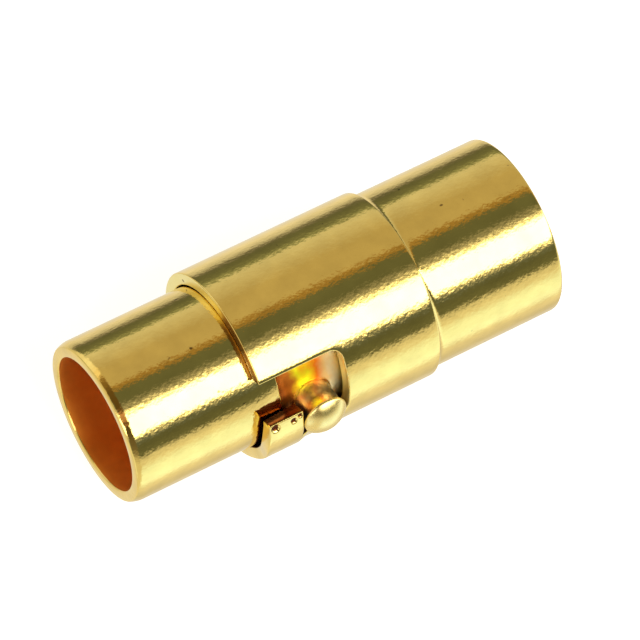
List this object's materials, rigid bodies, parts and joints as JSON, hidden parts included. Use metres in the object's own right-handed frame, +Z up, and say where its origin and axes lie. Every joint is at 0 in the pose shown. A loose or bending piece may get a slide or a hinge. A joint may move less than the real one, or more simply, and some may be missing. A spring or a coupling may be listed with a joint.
{
  "type": "locking magnetic tube clasp",
  "caption": "Locking magnetic tube clasp for round cord: a collar with an L-shaped slot takes a nosed tube, whose pin twists out of the slot's pocket; shown closed.",
  "frame": {"origin": "bottom centre of the closed clasp's box, on the surface that it lies on", "axes": "+X along the clasp's axis from the pin half's cord hole to the socket half's, +Z up, the locking pin points to -Y"},
  "size_m": [0.0168, 0.0076, 0.007],
  "materials": {
    "gold_plating": "polished gold plating",
    "magnet_nickel": "satin nickel plating"
  },
  "bodies": {
    "socket": {"socket_half": "gold_plating", "socket_magnet": "magnet_nickel"},
    "plug": {"pin_half": "gold_plating", "locking_pin": "gold_plating", "nose_magnet": "magnet_nickel"}
  },
  "joints": [
    {"name": "twist", "type": "hinge", "parent": "socket", "child": "plug", "pos_m": [-0.0036, 0.0003, 0.0035], "axis": [-1, 0, 0], "range_deg": [0, 23.5]}
  ]
}
